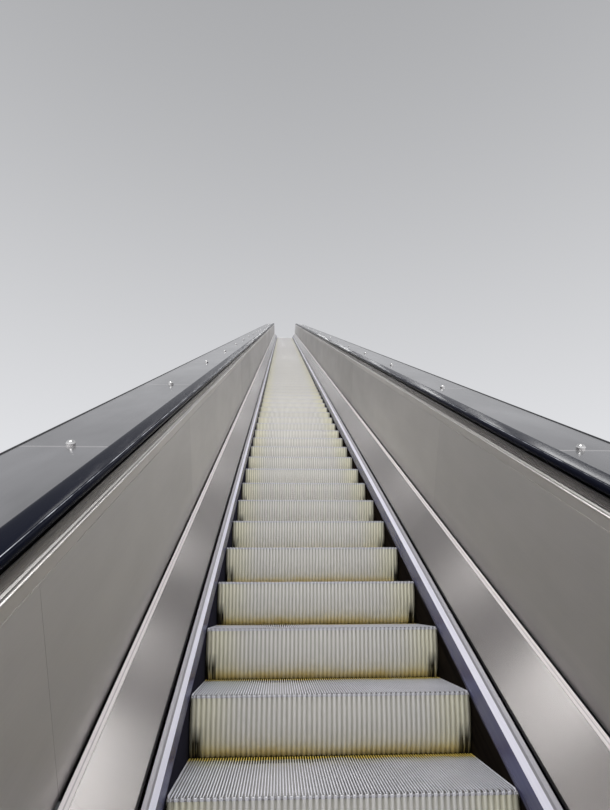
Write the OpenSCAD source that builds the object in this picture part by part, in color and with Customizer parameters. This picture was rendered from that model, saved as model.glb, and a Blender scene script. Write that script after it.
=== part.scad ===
// Public escalator: one long straight flight with flat steps at both landings.
// Millimetres, +Z up. It climbs towards +Y, and X runs across it from the middle.
// The origin lies on the underside of the lower support bracket.

/* [Flight] */
// Slope of the flight in degrees
incline_angle = 30; // [28:1:32]
// Length of one panel bay along the slope
bay_length = 1800; // [1700:50:1800]
// Number of panel bays on the slope
incline_bays = 19; // [6:1:19]
// Radius of the lower curve at step level
lower_radius = 2000; // [1800:100:2200]
// Radius of the upper curve at step level
upper_radius = 2600; // [2400:100:2800]
// Flat steps between each comb and its curve
flat_run = 1200; // [1000:100:1300]

/* [Steps] */
// Width of the treads
step_width = 1000; // [800:100:1000]
// Distance from one step nose to the next along the chain
step_pitch = 406; // [400:2:410]
// Cleats across one tread
cleat_count = 112; // [96:4:112]
// Depth of the grooves between the cleats
groove_depth = 10; // [8:1:12]

/* [Balustrades] */
// Height of the handrail top above the nose line
handrail_top = 895; // [875:5:925]
// Width of the outer deck
outer_deck_width = 380; // [300:20:400]
// Radius of the handrail's turn at each newel
newel_radius = 350; // [330:10:360]

/* [Housing] */
// Height of the landing floor above the bracket underside
floor_level = 190; // [160:10:220]
// Length of the landing floor plates
landing_length = 2000; // [1600:100:2100]
// Depth of the closed truss below the nose line
truss_depth = 980; // [900:20:1040]

/* [Hidden] */

ca = cos(incline_angle);
sa = sin(incline_angle);
half = step_width / 2;
comb_rise = 12;
tread_z = floor_level - comb_rise;
comb_run = 450;
body_start = landing_length;
comb_low_y = body_start + comb_run;
curve_low_y = comb_low_y + flat_run;
slope_length = bay_length * incline_bays;
slope_low = [curve_low_y + lower_radius * sa, tread_z + lower_radius * (1 - ca)];
slope_high = slope_low + slope_length * [ca, sa];
curve_high_y = slope_high[0] + upper_radius * sa;
upper_z = slope_high[1] + upper_radius * (1 - ca);
comb_high_y = curve_high_y + flat_run;
body_end = comb_high_y + comb_run;
edge_y = 65;
plate_end = body_end + landing_length - edge_y;
plate_thick = 20;
touch = 0.5;
joint = 0.8;
arc_joint = 0.015;
arc_parts = 3;
under_plate = comb_rise - plate_thick - touch;
cap_depth = 10;
run_start = body_start + cap_depth + touch;
run_end = body_end - cap_depth - touch;

// Cross-section positions: x is measured from the step edge, h above the nose line.
skirt_x = half + 4;
skirt_top = 70;
trim_x = half + 30;
deck_in_x = half + 40;
deck_out_x = half + 146;
deck_in_h = 110;
deck_out_h = 260;
guide_foot_h = handrail_top - 69;
rail_gap = 10;
rail_band = 37;
seam = 3;
panel_x = half + 176;
panel_foot_h = 264;
rail_top_h = guide_foot_h - rail_gap;
panel_top_h = rail_top_h - rail_band - seam;
panel_thick = 10;
panel_lean = 10;
rail_x = half + 230;
guide_half = 36;
rail_half = 40;
rail_thick = 30;
outer_in_x = half + 285;
outer_out_x = outer_in_x + outer_deck_width;
outer_h = handrail_top - 55;
deck_skin = 6;
sheet = 12;
clad_x = outer_out_x - 22;
truss_x = half + 330;

// Steps sit at equal distances along the nose path, measured from the foot of the lower curve.
lower_arc = lower_radius * incline_angle * PI / 180;
upper_arc = upper_radius * incline_angle * PI / 180;
nose_path = lower_arc + slope_length + upper_arc;
first_nose = -flat_run - 255;
last_nose = nose_path + flat_run + 40;
step_count = floor((last_nose - first_nose) / step_pitch) + 1;
tread_depth = step_pitch - 6;

function arc_turn(length, radius) = length * 180 / PI / radius;
function on_low_curve(a) = [curve_low_y + lower_radius * sin(a), tread_z + lower_radius * (1 - cos(a))];
function on_high_curve(a) = [curve_high_y - upper_radius * sin(a), upper_z - upper_radius * (1 - cos(a))];
function nose(u) =
    u < 0 ? [curve_low_y + u, tread_z]
    : u < lower_arc ? on_low_curve(arc_turn(u, lower_radius))
    : u < lower_arc + slope_length ? slope_low + (u - lower_arc) * [ca, sa]
    : u < nose_path ? on_high_curve(arc_turn(nose_path - u, upper_radius))
    : [curve_high_y + u - nose_path, upper_z];

// Runs a section drawn as (x, h) along Y from a to b at height z.
module level_run(a, b, z) {
    translate([0, b, z]) rotate([90, 0, 0]) linear_extrude(b - a) children();
}

// Runs a section up the slope from a to b, both measured from the foot of the slope.
module slope_run(a, b) {
    translate([0, slope_low[0], slope_low[1]]) rotate([incline_angle, 0, 0])
        translate([0, b, 0]) rotate([90, 0, 0]) linear_extrude(b - a) children();
}

// Turns a section round part of the lower curve, which bends upwards.
module low_curve(a, b) {
    translate([0, curve_low_y, tread_z + lower_radius]) rotate([0, 90, 0]) rotate([0, 0, a])
        rotate_extrude(angle = b - a) translate([lower_radius, 0]) rotate(90) children();
}

// Turns a section round part of the upper curve, which levels out.
module high_curve(a, b) {
    translate([0, curve_high_y, upper_z - upper_radius]) rotate([0, 90, 0]) rotate([0, 0, 180 + a])
        rotate_extrude(angle = b - a) translate([upper_radius, 0]) mirror([1, -1]) children();
}

// A whole run in bays: flat, curve, slope, curve and flat. shift moves the slope's joints up.
module bay_run(start_low, end_high, shift) {
    level_run(start_low, curve_low_y - joint, tread_z) children();
    for (i = [0:arc_parts - 1])
        low_curve(i * incline_angle / arc_parts, (i + 1) * incline_angle / arc_parts - arc_joint) children();
    if (shift > 0) slope_run(0, shift - joint) children();
    for (i = [0:incline_bays - (shift > 0 ? 2 : 1)])
        slope_run(shift + i * bay_length, shift + (i + 1) * bay_length - joint) children();
    if (shift > 0) slope_run(shift + (incline_bays - 1) * bay_length, slope_length - joint) children();
    for (i = [0:arc_parts - 1])
        high_curve(i * incline_angle / arc_parts, (i + 1) * incline_angle / arc_parts - arc_joint) children();
    level_run(curve_high_y + joint, end_high, upper_z) children();
}

// A run with no bay joints, for long profiles.
module long_run(start_low, end_high) {
    level_run(start_low, curve_low_y - joint, tread_z) children();
    for (i = [0:arc_parts - 1])
        low_curve(i * incline_angle / arc_parts, (i + 1) * incline_angle / arc_parts - arc_joint) children();
    slope_run(0, slope_length - joint) children();
    for (i = [0:arc_parts - 1])
        high_curve(i * incline_angle / arc_parts, (i + 1) * incline_angle / arc_parts - arc_joint) children();
    level_run(curve_high_y + joint, end_high, upper_z) children();
}

module mirror_x() {
    mirror([1, 0, 0]) children();
}

// Draws the side view (y, z) and gives it a width across the escalator.
module side_plate(x0, x1) {
    translate([x0, 0, 0]) rotate([90, 0, 90]) linear_extrude(x1 - x0) children();
}

// Side view of one step with its nose at the origin; the riser is an arc about the tread's back edge.
riser_foot = 215;
wedge_back = 35;
wedge_foot_y = 95;
module step_side() {
    intersection() {
        translate([tread_depth, 0]) circle(tread_depth);
        polygon([[0, 0], [tread_depth, 0], [tread_depth, -wedge_back],
            [wedge_foot_y, -riser_foot], [0, -riser_foot]]);
    }
}

// Two rollers under each step run on the tracks; the tracks follow the rollers' own path.
axle = [150, -190];
roller_r = 40;
roller_w = 24;
roller_inset = 40;
axle_h = -axle[0] * sa + axle[1] * ca;
module rollers() {
    for (x = [-half + roller_inset, half - roller_inset - roller_w])
        translate([x, axle[0], axle[1]]) rotate([0, 90, 0]) cylinder(h = roller_w, r = roller_r);
}

module plain_step(k) {
    p = nose(first_nose + k * step_pitch);
    translate([0, p[0], p[1]]) union() {
        side_plate(-half, half) step_side();
        rollers();
    }
}

// Outline of a grooved tread, seen from the front. The outermost cleats reach the step's edges.
cleat_pitch = step_width / cleat_count;
cleat_width = 3.4;
outline_foot = -riser_foot - 25;
function cleat_side(i, side) = side * (i == (side < 0 ? 0 : cleat_count - 1) ? cleat_pitch : cleat_width) / 2;
module cleat_outline() {
    polygon(concat([[-half, outline_foot], [-half, -groove_depth]],
        [for (i = [0:cleat_count - 1]) for (side = [-1, 1])
            for (h = side < 0 ? [-groove_depth, 0] : [0, -groove_depth])
                [-half + (i + 0.5) * cleat_pitch + cleat_side(i, side), h]],
        [[half, outline_foot]]));
}

module cleated_step(k) {
    over = 10;
    p = nose(first_nose + k * step_pitch);
    translate([0, p[0], p[1]]) union() {
        intersection() {
            side_plate(-half, half) step_side();
            translate([0, tread_depth + over, 0]) rotate([90, 0, 0])
                linear_extrude(tread_depth + 2 * over) cleat_outline();
        }
        rollers();
    }
}

low_cleated = 4;
high_cleated = 4;
flight_steps = step_count - low_cleated - high_cleated;
third = floor(flight_steps / 3);

module steps_lower_landing() color([0.72, 0.72, 0.70]) for (k = [0:low_cleated - 1]) cleated_step(k);
module steps_flight_low() color([0.72, 0.72, 0.70])
    for (k = [low_cleated:low_cleated + third - 1]) plain_step(k);
module steps_flight_middle() color([0.72, 0.72, 0.70])
    for (k = [low_cleated + third:low_cleated + 2 * third - 1]) plain_step(k);
module steps_flight_high() color([0.72, 0.72, 0.70])
    for (k = [low_cleated + 2 * third:step_count - high_cleated - 1]) plain_step(k);
module steps_upper_landing() color([0.72, 0.72, 0.70])
    for (k = [step_count - high_cleated:step_count - 1]) cleated_step(k);

// Skirts, trims and inner decks, drawn for +X.
module skirt_section() {
    polygon([[skirt_x, -250], [skirt_x + 8, -250], [skirt_x + 8, skirt_top], [skirt_x, skirt_top]]);
}
module trim_section() {
    polygon([[skirt_x, skirt_top + touch], [skirt_x + 16, skirt_top + 34], [trim_x, skirt_top + 42],
        [trim_x, skirt_top + 30], [skirt_x + 18, skirt_top + touch]]);
}
module inner_deck_section() {
    polygon([[deck_in_x, deck_in_h], [deck_out_x, deck_out_h], [deck_out_x, deck_out_h - 8],
        [deck_in_x + 4, deck_in_h - 12], [deck_in_x, deck_in_h - 12]]);
}
module moulding_section() {
    polygon([[deck_out_x + touch, deck_out_h + 1.5], [deck_out_x + 20, deck_out_h + 7],
        [deck_out_x + 22, deck_out_h + 4], [deck_out_x + 22, deck_out_h - 24],
        [deck_out_x + touch, deck_out_h - 24]]);
}
module skirts() bay_run(run_start, run_end, bay_length / 2) skirt_section();
module trims() long_run(run_start, run_end) trim_section();
module inner_deck() bay_run(run_start, run_end, bay_length / 2) inner_deck_section();
module moulding() long_run(run_start, run_end) moulding_section();

module skirt_panels_left() color([0.20, 0.21, 0.27]) mirror_x() skirts();
module skirt_panels_right() color([0.20, 0.21, 0.27]) skirts();
module skirt_trims_left() color([0.85, 0.85, 0.88]) mirror_x() trims();
module skirt_trims_right() color([0.85, 0.85, 0.88]) trims();
module inner_deck_left() color([0.62, 0.60, 0.60]) mirror_x() inner_deck();
module inner_deck_right() color([0.62, 0.60, 0.60]) inner_deck();
module deck_moulding_left() color([0.80, 0.78, 0.77]) mirror_x() moulding();
module deck_moulding_right() color([0.80, 0.78, 0.77]) moulding();

// Balustrade panels, their upper rail with its bright bead, and the guide under the handrail.
newel_joint = 380;
panel_start = comb_low_y - newel_joint + joint;
panel_end = comb_high_y + newel_joint - joint;
module panel_section() {
    polygon([[panel_x, panel_foot_h], [panel_x + panel_thick, panel_foot_h],
        [panel_x + panel_lean + panel_thick, panel_top_h], [panel_x + panel_lean, panel_top_h]]);
}
module rail_section() {
    translate([panel_x + panel_lean, panel_top_h + seam]) square([panel_thick, rail_band]);
    translate([panel_x + panel_lean + 3, rail_top_h - 3]) circle(6);
}
module guide_section() {
    polygon([[rail_x - guide_half, guide_foot_h], [outer_in_x - 3, guide_foot_h],
        [outer_in_x - 3, guide_foot_h + 5], [rail_x + guide_half, guide_foot_h + 5],
        [rail_x + guide_half, guide_foot_h + 33], [rail_x + 20, guide_foot_h + 36],
        [rail_x + 20, handrail_top - 22.5], [rail_x + 26.5, handrail_top - 22.5],
        [rail_x + 26.5, handrail_top - 11.5], [rail_x - 26.5, handrail_top - 11.5],
        [rail_x - 26.5, handrail_top - 22.5], [rail_x - 20, handrail_top - 22.5],
        [rail_x - 20, guide_foot_h + 36], [rail_x - guide_half, guide_foot_h + 33]]);
}
module panels() bay_run(panel_start, panel_end, bay_length / 2) panel_section();
module rails() long_run(panel_start, panel_end) rail_section();
module guide() long_run(panel_start, panel_end) guide_section();

module balustrade_panels_left() color([0.58, 0.56, 0.54]) mirror_x() panels();
module balustrade_panels_right() color([0.58, 0.56, 0.54]) panels();
module balustrade_rails_left() color([0.66, 0.64, 0.62]) mirror_x() rails();
module balustrade_rails_right() color([0.66, 0.64, 0.62]) rails();
module handrail_guide_left() color([0.45, 0.43, 0.41]) mirror_x() guide();
module handrail_guide_right() color([0.45, 0.43, 0.41]) guide();

// Handrail: a C section that goes round both newels and back in through the end caps.
module handrail_section() {
    difference() {
        union() {
            translate([rail_x - 28, handrail_top - rail_thick]) square([56, rail_thick]);
            translate([rail_x - 28, handrail_top - 14]) circle(12);
            translate([rail_x + 28, handrail_top - 14]) circle(12);
            translate([rail_x - rail_half, handrail_top - rail_thick + 6])
                square([2 * rail_half, rail_thick - 20]);
            translate([rail_x - 34, handrail_top - rail_thick]) square([68, 10]);
        }
        translate([rail_x - 27, handrail_top - rail_thick + 7]) square([54, 12]);
        translate([rail_x - 21, handrail_top - rail_thick - 1]) square([42, 12]);
    }
}
newel_over = 100;
newel_low_y = body_start - newel_over;
newel_high_y = body_end + newel_over;
newel_low_z = tread_z + handrail_top - newel_radius;
newel_high_z = upper_z + handrail_top - newel_radius;
return_run = 160;
inlet_h = handrail_top - 2 * newel_radius;
module newel_turn(y, z, a) {
    translate([0, y, z]) rotate([0, 90, 0]) rotate([0, 0, a])
        rotate_extrude(angle = 180) translate([newel_radius - handrail_top, 0]) mirror([1, -1]) children();
}
module handrail_return(y, z) {
    translate([0, y + return_run, z]) rotate([90, 0, 0]) linear_extrude(return_run)
        translate([0, handrail_top - newel_radius]) mirror([0, 1]) children();
}
module handrail() {
    union() {
        level_run(newel_low_y, curve_low_y, tread_z) handrail_section();
        newel_turn(newel_low_y, newel_low_z, 180) handrail_section();
        handrail_return(newel_low_y, newel_low_z) handrail_section();
    }
    low_curve(arc_joint, incline_angle - arc_joint) handrail_section();
    slope_run(0, slope_length - joint) handrail_section();
    union() {
        high_curve(0, incline_angle) handrail_section();
        level_run(curve_high_y, newel_high_y, upper_z) handrail_section();
        newel_turn(newel_high_y, newel_high_z, 0) handrail_section();
        handrail_return(newel_high_y - return_run, newel_high_z) handrail_section();
    }
}
module handrail_left() color([0.06, 0.06, 0.08]) mirror_x() handrail();
module handrail_right() color([0.06, 0.06, 0.08]) handrail();

// Newel ends: the rounded end panels inside the handrail's loop.
newel_gap = 6;
newel_run = comb_run + newel_over - newel_joint;
newel_in_x = panel_x + 6;
newel_out_x = panel_x + 102;
module newel_side(y, z, dir) {
    r = newel_radius - rail_thick - newel_gap;
    difference() {
        union() {
            translate([y, z]) circle(r);
            translate([dir > 0 ? y : y - newel_run, z - r]) square([newel_run, 2 * r]);
        }
        translate([dir > 0 ? y + newel_run : y - newel_run - 2 * r, z - r - 1]) square([2 * r, 2 * r + 2]);
    }
}
module newels() {
    side_plate(newel_in_x, newel_out_x) newel_side(newel_low_y, newel_low_z, 1);
    side_plate(newel_in_x, newel_out_x) newel_side(newel_high_y, newel_high_z, -1);
}
module newels_left() color([0.58, 0.56, 0.54]) mirror_x() newels();
module newels_right() color([0.58, 0.56, 0.54]) newels();

// Outer decks with beaded edges, and their round anti-slide knobs.
module outer_deck_section() {
    polygon([[outer_in_x, outer_h], [outer_in_x + 10, outer_h],
        [outer_out_x - 10, outer_h], [outer_out_x, outer_h],
        [outer_out_x, outer_h - 70], [outer_out_x - deck_skin, outer_h - 70],
        [outer_out_x - deck_skin, outer_h - deck_skin], [outer_in_x + deck_skin, outer_h - deck_skin],
        [outer_in_x + deck_skin, outer_h - 40], [outer_in_x, outer_h - 40]]);
    translate([outer_in_x + 4, outer_h]) circle(4);
    translate([outer_out_x - 4, outer_h]) circle(4);
}
module outer_deck() bay_run(run_start, run_end, 0) outer_deck_section();
module knob() {
    cylinder(h = 8, r = 18);
    translate([0, 0, 8]) intersection() {
        translate([0, 0, -5]) sphere(18.5);
        cylinder(h = 20, r = 18.5);
    }
}
// Each knob sits just past a bay joint; the first and the last keep clear of the bends.
knob_past_joint = 22;
knob_from_end = 30;
function knob_shift(i) = i == 0 ? knob_from_end : i == incline_bays ? -knob_from_end : knob_past_joint;
module knobs() {
    for (i = [0:incline_bays]) translate([0, slope_low[0], slope_low[1]]) rotate([incline_angle, 0, 0])
        translate([outer_in_x + outer_deck_width / 2, i * bay_length + knob_shift(i), outer_h]) knob();
}
module outer_deck_left() color([0.66, 0.65, 0.65]) mirror_x() outer_deck();
module outer_deck_right() color([0.66, 0.65, 0.65]) outer_deck();
module deck_knobs_left() color([0.90, 0.90, 0.90]) mirror_x() knobs();
module deck_knobs_right() color([0.90, 0.90, 0.90]) knobs();

// End caps that close the body at each landing, with the collars where the handrail goes in.
newel_clear = 2;
slot_in_x = newel_in_x - newel_clear;
slot_out_x = newel_out_x + newel_clear;
module cap_pair(h0) {
    polygon([[skirt_x, h0], [skirt_x, skirt_top + touch],
        [skirt_x + 16, skirt_top + 34], [trim_x, skirt_top + 42],
        [deck_in_x, deck_in_h], [deck_out_x, deck_out_h], [deck_out_x + 22, deck_out_h + 6],
        [slot_in_x, deck_out_h + 6], [slot_in_x, h0]]);
    polygon([[slot_in_x + touch, h0], [slot_in_x + touch, inlet_h - 22],
        [slot_out_x - touch, inlet_h - 22], [slot_out_x - touch, h0]]);
    polygon([[slot_out_x, h0], [slot_out_x, outer_h], [outer_out_x, outer_h], [outer_out_x, h0]]);
}
module collar(y, z) {
    translate([0, y, z]) rotate([90, 0, 0]) linear_extrude(40) difference() {
        translate([rail_x - 52, inlet_h - 21]) square([104, rail_thick + 25]);
        translate([rail_x - rail_half - 1.5, inlet_h - 1.5]) square([2 * rail_half + 3, 80]);
    }
}
module end_side() {
    level_run(body_start, body_start + cap_depth, tread_z) cap_pair(0);
    level_run(body_end - cap_depth, body_end, upper_z) cap_pair(0);
    collar(body_start - touch, tread_z);
    collar(body_end + 40 + touch, upper_z);
}
module end_caps() color([0.60, 0.59, 0.58]) {
    end_side();
    mirror_x() end_side();
}

// Landing floor plates and comb plates.
module plate_row(y0, z) {
    plate = (landing_length - edge_y) / 3;
    for (i = [0:2]) translate([-outer_out_x, y0 + i * plate, z - plate_thick])
        cube([2 * outer_out_x, plate - joint, plate_thick]);
}
module lower_floor_plates() color([0.50, 0.50, 0.50]) plate_row(edge_y, floor_level);
module upper_floor_plates() color([0.50, 0.50, 0.50]) plate_row(body_end + joint, upper_z + comb_rise);
module comb_plate_side() {
    translate([0, 2]) square([comb_run - comb_back - touch, 10]);
}
module lower_comb_plate() color([0.62, 0.62, 0.62])
    translate([0, body_start, tread_z]) side_plate(-half - 2, half + 2) comb_plate_side();
module upper_comb_plate() color([0.62, 0.62, 0.62])
    translate([0, body_end, upper_z]) mirror([0, 1, 0]) side_plate(-half - 2, half + 2) comb_plate_side();

// Comb: a sloping bar whose teeth reach down into the grooves of the steps, one tooth to a groove.
tooth_width = 3;
comb_back = 74;
module comb_bar_side() {
    polygon([[0, 2], [0, 12], [42, 12], [66, 8], [66, 2]]);
}
module tooth_side() {
    polygon([[60, 2], [60, 8], [66, 8], [100, 0], [104, -3], [104, -7], [60, -7]]);
}
module comb_segment() {
    translate([0, -comb_back, 0]) {
        side_plate(-half - 2, half + 2) comb_bar_side();
        for (i = [1:cleat_count - 1])
            translate([-half + i * cleat_pitch, 0, 0])
                side_plate(-tooth_width / 2, tooth_width / 2) tooth_side();
    }
}
module lower_comb_teeth() color([0.66, 0.66, 0.66]) translate([0, comb_low_y, tread_z]) comb_segment();
module upper_comb_teeth() color([0.66, 0.66, 0.66])
    translate([0, comb_high_y, upper_z]) mirror([0, 1, 0]) comb_segment();

// Truss: two side frames with chords, posts and outriggers, joined by crossbeams.
chord = 80;
chord_width = 70;
post_depth = 60;
post_width = 60;
post_inset = 5;
arm = 50;
post_setback = 200;
knee_low_y = curve_low_y - post_setback;
knee_high_y = curve_high_y + post_setback;
frame_top_h = under_plate - touch;
frame_foot_h = -truss_depth + sheet + touch;
module chord_section() {
    translate([truss_x, frame_top_h - chord]) square([chord_width, chord]);
    translate([truss_x, frame_foot_h]) square([chord_width, chord]);
}
module posts_at_level(y, z) {
    reach = clad_x - truss_x - chord_width;
    translate([truss_x + post_inset, y, z + frame_foot_h + chord])
        cube([post_width, post_depth, frame_top_h - frame_foot_h - 2 * chord]);
    translate([truss_x + chord_width, y, z - 80]) cube([reach, arm, 60]);
    translate([truss_x + chord_width, y, z + frame_foot_h + 10]) cube([reach, arm, 60]);
}
module balustrade_post(y, z) {
    translate([truss_x + post_inset, y, z + frame_top_h]) cube([arm, arm, guide_foot_h - arm - frame_top_h]);
    translate([panel_x + 20 + touch, y, z + guide_foot_h - arm]) cube([clad_x - panel_x - 30, arm, arm]);
    translate([outer_in_x + 20, y, z + guide_foot_h])
        cube([outer_deck_width - 60, arm, outer_h - deck_skin - guide_foot_h]);
    translate([panel_x + 12, y, z + panel_foot_h + 36]) cube([truss_x - panel_x, arm, 40]);
    translate([deck_out_x - 6, y, z + deck_out_h - 64 - touch]) cube([truss_x - deck_out_x + 12, arm, 40]);
    translate([skirt_x + 8 + touch, y, z - 60]) cube([truss_x - skirt_x, arm, 40]);
}
// Splice blocks join the chord lengths where the run bends.
splice_length = 120;
splice_gap = 1;
splice_proud = 3;
module splice_at(y, z, a) {
    translate([0, y, z]) rotate([a, 0, 0]) {
        translate([truss_x - splice_proud, -splice_length / 2, frame_top_h - chord - splice_proud])
            cube([chord_width + 2 * splice_proud, splice_length, chord]);
        translate([truss_x - splice_proud, -splice_length / 2, frame_foot_h + splice_proud])
            cube([chord_width + 2 * splice_proud, splice_length, chord]);
    }
}
module frame() {
    gap_angle = 0.05;
    level_run(edge_y + sheet, curve_low_y - splice_gap, tread_z) chord_section();
    splice_at(curve_low_y, tread_z, 0);
    low_curve(gap_angle, incline_angle - gap_angle) chord_section();
    splice_at(slope_low[0], slope_low[1], incline_angle);
    slope_run(splice_gap, slope_length - splice_gap) chord_section();
    splice_at(slope_high[0], slope_high[1], incline_angle);
    high_curve(gap_angle, incline_angle - gap_angle) chord_section();
    splice_at(curve_high_y, upper_z, 0);
    level_run(curve_high_y + splice_gap, plate_end - sheet, upper_z) chord_section();
    for (y = [edge_y + post_depth, knee_low_y, knee_high_y, plate_end - 2 * post_depth])
        posts_at_level(y, y < curve_high_y ? tread_z : upper_z);
    for (y = [body_start + post_setback, knee_low_y, knee_high_y, body_end - post_setback - post_depth])
        balustrade_post(y, y < curve_high_y ? tread_z : upper_z);
    translate([0, slope_low[0], slope_low[1]]) rotate([incline_angle, 0, 0])
        for (i = [0:incline_bays - 1]) {
            posts_at_level((i + 0.5) * bay_length - 30, 0);
            balustrade_post((i + 0.5) * bay_length - 30, 0);
        }
}
track_thick = 24;
track_foot = roller_r + track_thick + 2 * touch;
track_beam_h = axle_h - track_foot;
beam = 60;
module truss_left() color([0.35, 0.36, 0.37]) mirror_x() frame();
module truss_right() color([0.35, 0.36, 0.37]) frame();
module foot_beam(y, z) {
    translate([-truss_x, y, z + frame_foot_h]) cube([2 * truss_x, beam, beam]);
}
module track_beam(y, z) {
    translate([-truss_x - 5, y, z - beam]) cube([2 * truss_x + 10, beam, beam]);
}
module truss_crossbeams() color([0.35, 0.36, 0.37]) {
    for (y = [edge_y + 2 * post_depth + 20, knee_low_y - post_setback]) foot_beam(y, tread_z);
    for (y = [knee_high_y + post_setback, plate_end - 3 * post_depth - 20]) foot_beam(y, upper_z);
    track_beam(knee_low_y, tread_z + axle[1] - track_foot);
    track_beam(knee_high_y, upper_z + axle[1] - track_foot);
    translate([0, slope_low[0], slope_low[1]]) rotate([incline_angle, 0, 0])
        for (i = [0:incline_bays - 1]) {
            foot_beam((i + 0.5) * bay_length + 40, 0);
            track_beam((i + 0.5) * bay_length - 30, track_beam_h);
        }
}

// Tracks that carry the steps.
track_overrun = 400;
track_inset = 30;
track_width = 50;
module track_section() {
    for (x = [-half + track_inset, half - track_inset - track_width])
        translate([x, -roller_r - touch - track_thick]) square([track_width, track_thick]);
}
module step_tracks() color([0.40, 0.40, 0.42]) translate([0, axle[0], axle[1]])
    long_run(comb_low_y - track_overrun, comb_high_y + track_overrun) track_section();

// Closed housing: side cladding, soffit and end plates, all of one sheet thickness.
clad_foot_h = -truss_depth + sheet + touch;
clad_edge = clad_x + sheet;
module clad_section() {
    translate([clad_x, clad_foot_h]) square([sheet, outer_h - deck_skin - touch - clad_foot_h]);
}
module level_clad(a, b, z) {
    translate([clad_x, a, z + clad_foot_h]) cube([sheet, b - a, under_plate - clad_foot_h]);
}
module cladding() {
    level_clad(edge_y + sheet + touch, run_start - joint, tread_z);
    bay_run(run_start, run_end, 0) clad_section();
    level_clad(run_end + joint, plate_end - sheet - touch, upper_z);
}
module cladding_left() color([0.55, 0.56, 0.57]) mirror_x() cladding();
module cladding_right() color([0.55, 0.56, 0.57]) cladding();
module soffit_section() {
    translate([-clad_edge, -truss_depth]) square([2 * clad_edge, sheet]);
}
module soffit_panels() color([0.55, 0.56, 0.57]) {
    level_run(edge_y, body_start - joint, tread_z) soffit_section();
    bay_run(body_start, body_end, 0) soffit_section();
    level_run(body_end + joint, plate_end, upper_z) soffit_section();
}
module end_plate(y, z) {
    translate([-clad_edge, y, z + clad_foot_h]) cube([2 * clad_edge, sheet, under_plate - clad_foot_h]);
}
module lower_end_plate() color([0.50, 0.51, 0.52]) end_plate(edge_y, tread_z);
module upper_end_plate() color([0.50, 0.51, 0.52]) end_plate(plate_end - sheet, upper_z);

// Support brackets: angles on both end plates that rest on the building's ledges.
bracket_width = 1800;
bracket_foot = 25;
bracket_web = 20;
bracket_rise = 110;
module bracket() {
    translate([-bracket_width / 2, -edge_y, 0]) cube([bracket_width, 2 * edge_y, bracket_foot]);
    translate([-bracket_width / 2, edge_y - bracket_web, bracket_foot])
        cube([bracket_width, bracket_web, bracket_rise]);
}
module lower_support_bracket() color([0.30, 0.31, 0.32]) bracket();
module upper_support_bracket() color([0.30, 0.31, 0.32])
    translate([0, plate_end + edge_y, upper_z - tread_z]) mirror([0, 1, 0]) bracket();

lower_support_bracket();
upper_support_bracket();
truss_left();
truss_right();
truss_crossbeams();
step_tracks();
soffit_panels();
cladding_left();
cladding_right();
lower_end_plate();
upper_end_plate();
lower_floor_plates();
upper_floor_plates();
lower_comb_plate();
upper_comb_plate();
lower_comb_teeth();
upper_comb_teeth();
steps_lower_landing();
steps_flight_low();
steps_flight_middle();
steps_flight_high();
steps_upper_landing();
skirt_panels_left();
skirt_panels_right();
skirt_trims_left();
skirt_trims_right();
inner_deck_left();
inner_deck_right();
deck_moulding_left();
deck_moulding_right();
balustrade_panels_left();
balustrade_panels_right();
balustrade_rails_left();
balustrade_rails_right();
handrail_guide_left();
handrail_guide_right();
handrail_left();
handrail_right();
outer_deck_left();
outer_deck_right();
deck_knobs_left();
deck_knobs_right();
newels_left();
newels_right();
end_caps();
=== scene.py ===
# %% [markdown]
# # A long public escalator, dressed in Blender
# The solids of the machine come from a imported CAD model, which Blender loads as a fixed frame.
# Everything added here sits in that same frame, in metres: Z is up, the flight climbs towards +Y,
# and X runs across from the middle. The first numbers kept are the frame's own box, because the
# finished looks may not grow past it.

# %% Load the frame
import math

import bpy
import numpy as np
from mathutils import Matrix, Vector


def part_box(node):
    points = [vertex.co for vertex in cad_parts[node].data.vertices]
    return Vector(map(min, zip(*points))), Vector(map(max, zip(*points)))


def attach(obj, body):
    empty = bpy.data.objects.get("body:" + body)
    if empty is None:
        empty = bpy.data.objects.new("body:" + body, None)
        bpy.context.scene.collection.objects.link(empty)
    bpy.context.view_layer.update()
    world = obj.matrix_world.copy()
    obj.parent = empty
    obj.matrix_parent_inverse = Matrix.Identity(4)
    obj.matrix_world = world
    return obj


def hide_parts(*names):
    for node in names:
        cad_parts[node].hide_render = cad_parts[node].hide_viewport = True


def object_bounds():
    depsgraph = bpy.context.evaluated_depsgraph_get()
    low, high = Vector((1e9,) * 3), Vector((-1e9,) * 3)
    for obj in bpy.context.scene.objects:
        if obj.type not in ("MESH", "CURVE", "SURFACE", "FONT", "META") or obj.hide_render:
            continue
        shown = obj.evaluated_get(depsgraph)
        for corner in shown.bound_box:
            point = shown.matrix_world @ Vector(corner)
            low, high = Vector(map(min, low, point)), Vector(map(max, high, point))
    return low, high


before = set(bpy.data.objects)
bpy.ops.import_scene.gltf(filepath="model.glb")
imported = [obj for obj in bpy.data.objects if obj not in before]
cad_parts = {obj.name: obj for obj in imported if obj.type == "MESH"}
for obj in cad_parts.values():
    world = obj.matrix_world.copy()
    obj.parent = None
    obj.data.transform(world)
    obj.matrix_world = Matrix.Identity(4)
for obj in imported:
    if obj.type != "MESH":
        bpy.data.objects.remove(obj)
cad_lo, cad_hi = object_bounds()
print("frame box", [round(v, 3) for v in (*cad_lo, *cad_hi)])

# %% [markdown]
# ## Camera
# The view is taken from just above the steps, looking up the flight with a wide lens.
# A camera can be turned with Euler angles, but yaw, pitch and a small roll are easier to tune one
# at a time when the camera's own axes are built from them, so they are kept as three named angles.

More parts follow.
